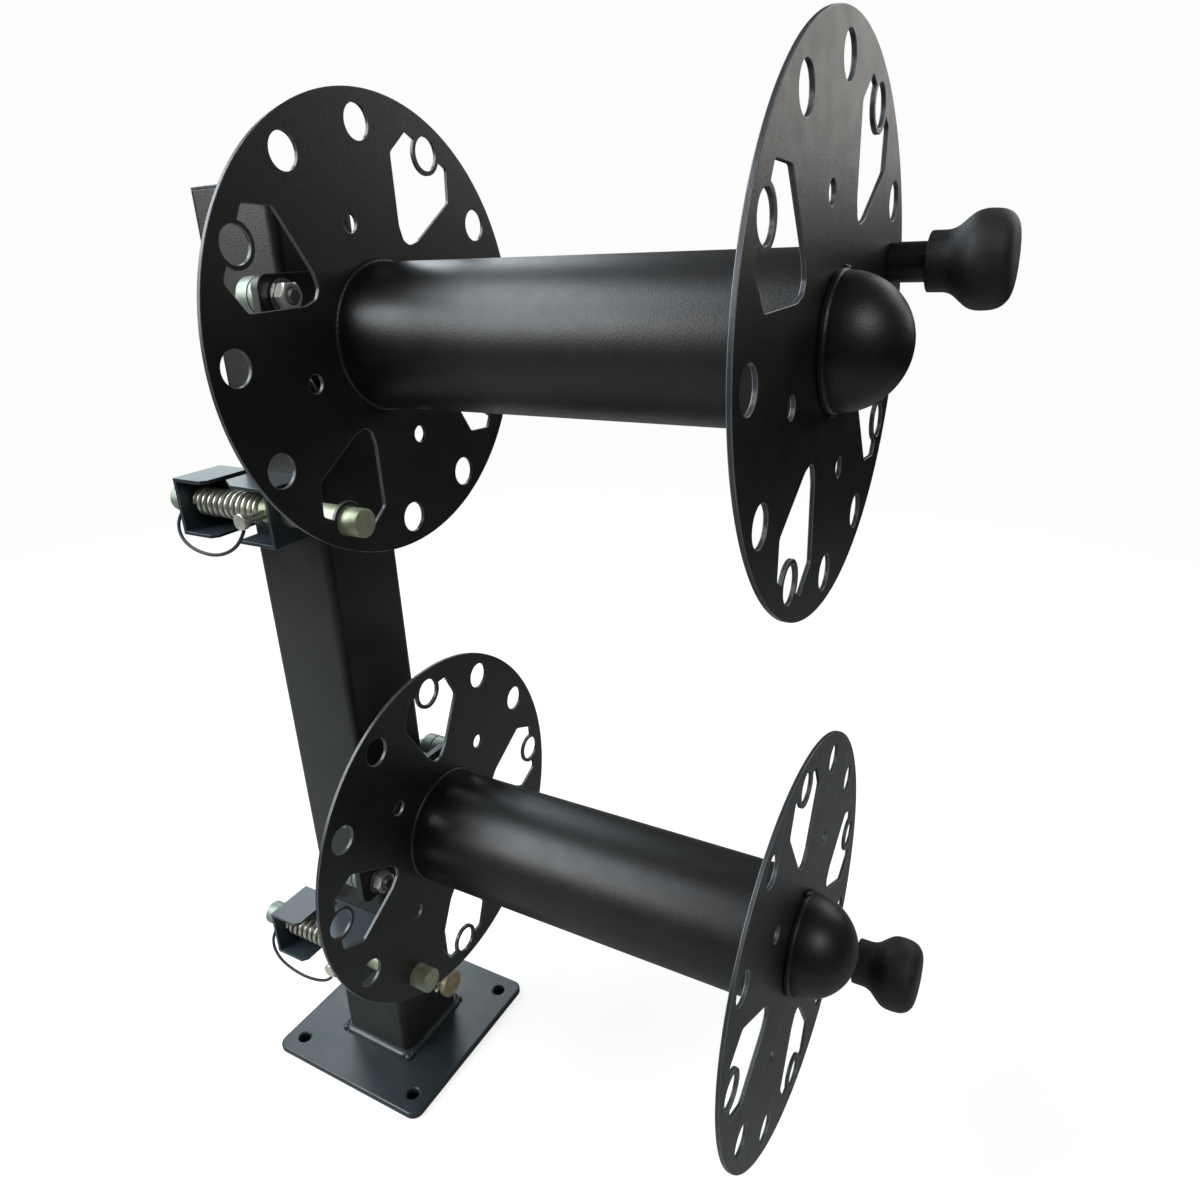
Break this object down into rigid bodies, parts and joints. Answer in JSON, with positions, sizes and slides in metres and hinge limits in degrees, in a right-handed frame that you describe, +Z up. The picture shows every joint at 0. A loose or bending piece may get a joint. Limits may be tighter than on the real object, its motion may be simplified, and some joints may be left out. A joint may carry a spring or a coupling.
{
  "type": "reel stand",
  "caption": "Two-tier crank reel stand: square post on a bolt-down base plate, two cantilevered drums with pierced flanges, hand cranks and spring-loaded lock pins.",
  "frame": {"origin": "centre of the base plate's underside, on the post's centre line", "axes": "+Z up the post, -Y along the reels towards the crank side, +X to the right seen from the crank side"},
  "size_m": [0.3518, 0.6568, 0.9649],
  "materials": {
    "black_coat": "satin black powder coat with fine orange peel",
    "blue_coat": "satin dark blue-grey powder coat",
    "yellow_zinc": "dull yellow-green zinc plate",
    "bright_steel": "bright plated steel",
    "spring_wire": "drawn spring wire with a yellowish plate",
    "knob_plastic": "black moulded plastic with a fine grain",
    "cord_jacket": "smooth black plastic jacket",
    "bronze": "oiled bronze"
  },
  "bodies": {
    "stand": {"base_plate": "blue_coat", "post": "black_coat", "post_cap": "knob_plastic", "post_foot_weld": "blue_coat", "front_stud": "yellow_zinc", "upper_mount_plate": "black_coat", "upper_spindle_block": "black_coat", "upper_spindle": "bright_steel", "upper_spindle_nut": "yellow_zinc", "upper_mount_bolt_1": "yellow_zinc", "upper_mount_bolt_2": "yellow_zinc", "upper_mount_bolt_3": "yellow_zinc", "upper_mount_bolt_4": "yellow_zinc", "upper_mount_nut_1": "bright_steel", "upper_mount_nut_2": "bright_steel", "upper_mount_nut_3": "bright_steel", "upper_mount_nut_4": "bright_steel", "upper_lock_bracket": "blue_coat", "upper_lock_spring": "spring_wire", "lower_mount_plate": "black_coat", "lower_spindle_block": "black_coat", "lower_spindle": "bright_steel", "lower_spindle_nut": "yellow_zinc", "lower_mount_bolt_1": "yellow_zinc", "lower_mount_bolt_2": "yellow_zinc", "lower_mount_bolt_3": "yellow_zinc", "lower_mount_bolt_4": "yellow_zinc", "lower_mount_nut_1": "bright_steel", "lower_mount_nut_2": "bright_steel", "lower_mount_nut_3": "bright_steel", "lower_mount_nut_4": "bright_steel", "lower_lock_bracket": "blue_coat", "lower_lock_spring": "spring_wire"},
    "upper_reel": {"upper_inner_flange": "black_coat", "upper_outer_flange": "black_coat", "upper_drum": "black_coat", "upper_inner_bush": "bronze", "upper_outer_bush": "bronze", "upper_dome_cap": "black_coat", "upper_handle_stem": "black_coat", "upper_handle_nut": "yellow_zinc"},
    "upper_knob": {"upper_handle_knob": "knob_plastic"},
    "upper_lock": {"upper_lock_plunger": "yellow_zinc", "upper_lock_pull": "yellow_zinc", "upper_lock_cross_pin": "yellow_zinc", "upper_lock_lanyard": "cord_jacket"},
    "lower_reel": {"lower_inner_flange": "black_coat", "lower_outer_flange": "black_coat", "lower_drum": "black_coat", "lower_inner_bush": "bronze", "lower_outer_bush": "bronze", "lower_dome_cap": "black_coat", "lower_handle_stem": "black_coat", "lower_handle_nut": "yellow_zinc"},
    "lower_knob": {"lower_handle_knob": "knob_plastic"},
    "lower_lock": {"lower_lock_plunger": "yellow_zinc", "lower_lock_pull": "yellow_zinc", "lower_lock_cross_pin": "yellow_zinc", "lower_lock_lanyard": "cord_jacket"}
  },
  "joints": [
    {"name": "upper_reel_turn", "type": "hinge", "parent": "stand", "child": "upper_reel", "pos_m": [0, -0.3, 0.789], "axis": [0, -1, 0], "continuous": true},
    {"name": "upper_knob_turn", "type": "hinge", "parent": "upper_reel", "child": "upper_knob", "pos_m": [0.13388, -0.52, 0.82993], "axis": [0, -1, 0], "continuous": true},
    {"name": "upper_lock_pull_back", "type": "slide", "parent": "stand", "child": "upper_lock", "axis": [0, 1, 0], "range_m": [0, 0.03], "stiffness_N_per_m": 500, "springref_m": -0.02, "deforming": ["upper_lock_spring"]},
    {"name": "lower_reel_turn", "type": "hinge", "parent": "stand", "child": "lower_reel", "pos_m": [0, -0.3, 0.314], "axis": [0, -1, 0], "continuous": true},
    {"name": "lower_knob_turn", "type": "hinge", "parent": "lower_reel", "child": "lower_knob", "pos_m": [0.10239, -0.52, 0.21852], "axis": [0, -1, 0], "continuous": true},
    {"name": "lower_lock_pull_back", "type": "slide", "parent": "stand", "child": "lower_lock", "axis": [0, 1, 0], "range_m": [0, 0.03], "stiffness_N_per_m": 500, "springref_m": -0.02, "deforming": ["lower_lock_spring"]}
  ]
}
